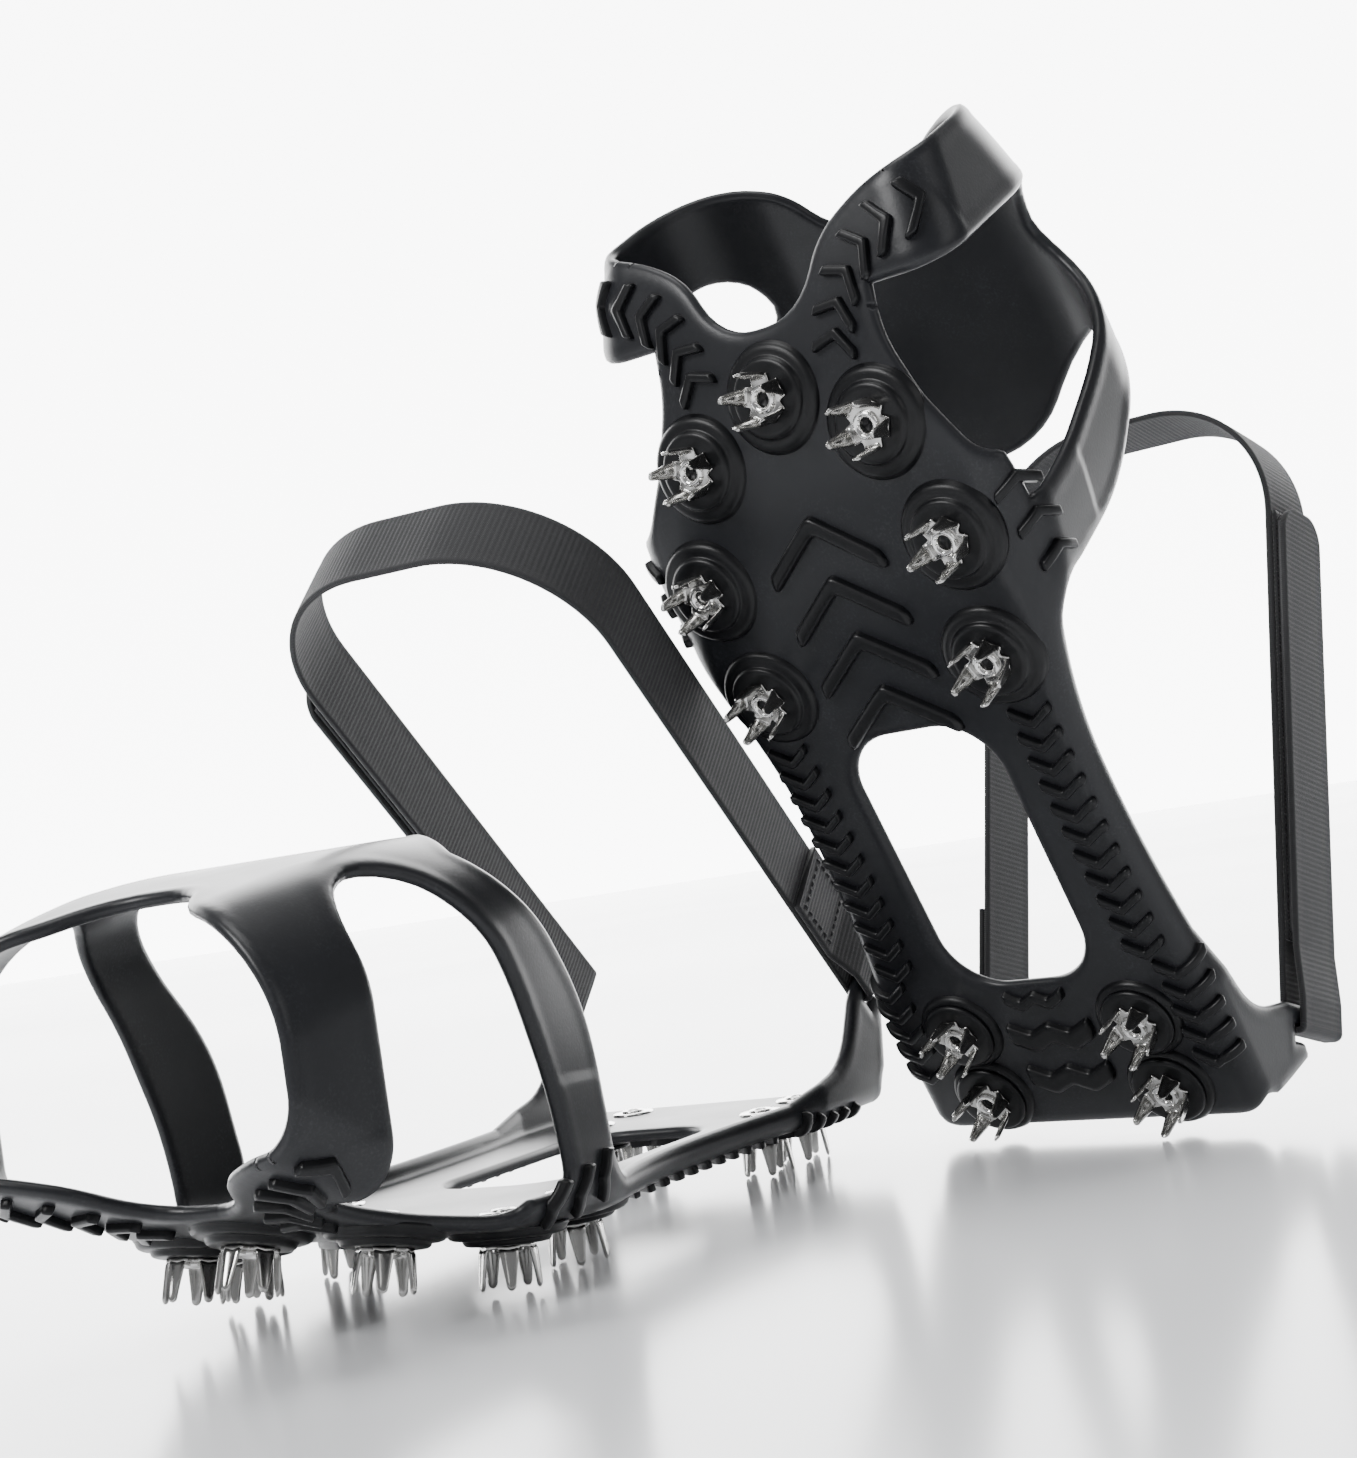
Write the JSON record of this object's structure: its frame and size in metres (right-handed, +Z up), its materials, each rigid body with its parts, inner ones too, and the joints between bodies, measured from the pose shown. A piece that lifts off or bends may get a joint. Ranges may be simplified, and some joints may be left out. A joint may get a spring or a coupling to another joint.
{
  "type": "shoe ice cleats",
  "caption": "Pair of stretch rubber ice cleats: studded sole webs with toe harness and buckle-free ankle straps, one standing on its claws and one leaning on it.",
  "frame": {"origin": "centre of the pair's box on the floor", "axes": "-Y towards the toe of the standing right cleat, +X to its left, +Z up"},
  "size_m": [0.218, 0.3194, 0.2414],
  "materials": {
    "rubber": "satin moulded black rubber",
    "claw_steel": "bright stamped steel",
    "rivet_steel": "bright rolled steel",
    "webbing": "ribbed woven black webbing",
    "loop_tape": "fuzzy black loop tape",
    "hook_tape": "black hook tape",
    "thread": "black sewing thread"
  },
  "bodies": {
    "right_cleat": {"right_claw_01": "claw_steel", "right_claw_02": "claw_steel", "right_claw_03": "claw_steel", "right_claw_04": "claw_steel", "right_claw_05": "claw_steel", "right_claw_06": "claw_steel", "right_claw_07": "claw_steel", "right_claw_08": "claw_steel", "right_claw_09": "claw_steel", "right_claw_10": "claw_steel", "right_claw_11": "claw_steel", "right_ear_inner": "rubber", "right_ear_outer": "rubber", "right_loop_tape": "loop_tape", "right_outsole": "rubber", "right_rivets": "rivet_steel", "right_strap": "webbing", "right_tail_stitching": "thread", "right_toe_web": "rubber", "right_washers": "rivet_steel"},
    "right_flap": {"right_flap": "webbing", "right_hook_tape": "hook_tape"},
    "left_cleat": {"left_claw_01": "claw_steel", "left_claw_02": "claw_steel", "left_claw_03": "claw_steel", "left_claw_04": "claw_steel", "left_claw_05": "claw_steel", "left_claw_06": "claw_steel", "left_claw_07": "claw_steel", "left_claw_08": "claw_steel", "left_claw_09": "claw_steel", "left_claw_10": "claw_steel", "left_claw_11": "claw_steel", "left_ear_inner": "rubber", "left_ear_outer": "rubber", "left_loop_tape": "loop_tape", "left_outsole": "rubber", "left_rivets": "rivet_steel", "left_strap": "webbing", "left_tail_stitching": "thread", "left_toe_web": "rubber", "left_washers": "rivet_steel"},
    "left_flap": {"left_flap": "webbing", "left_hook_tape": "hook_tape"}
  },
  "joints": [
    {"name": "left_cleat_lift", "type": "slide", "parent": "right_cleat", "child": "left_cleat", "axis": [0, 0.6, 0.8], "range_m": [0, 0.2]},
    {"name": "right_flap_peel", "type": "hinge", "parent": "right_cleat", "child": "right_flap", "pos_m": [-0.10313, 0.07808, 0.04548], "axis": [0, -0.7071, -0.7071], "range_deg": [0, 95]},
    {"name": "left_flap_peel", "type": "hinge", "parent": "left_cleat", "child": "left_flap", "pos_m": [0.10142, 0.09291, 0.01646], "axis": [0.1669, 0.9467, -0.2756], "range_deg": [0, 95]}
  ]
}
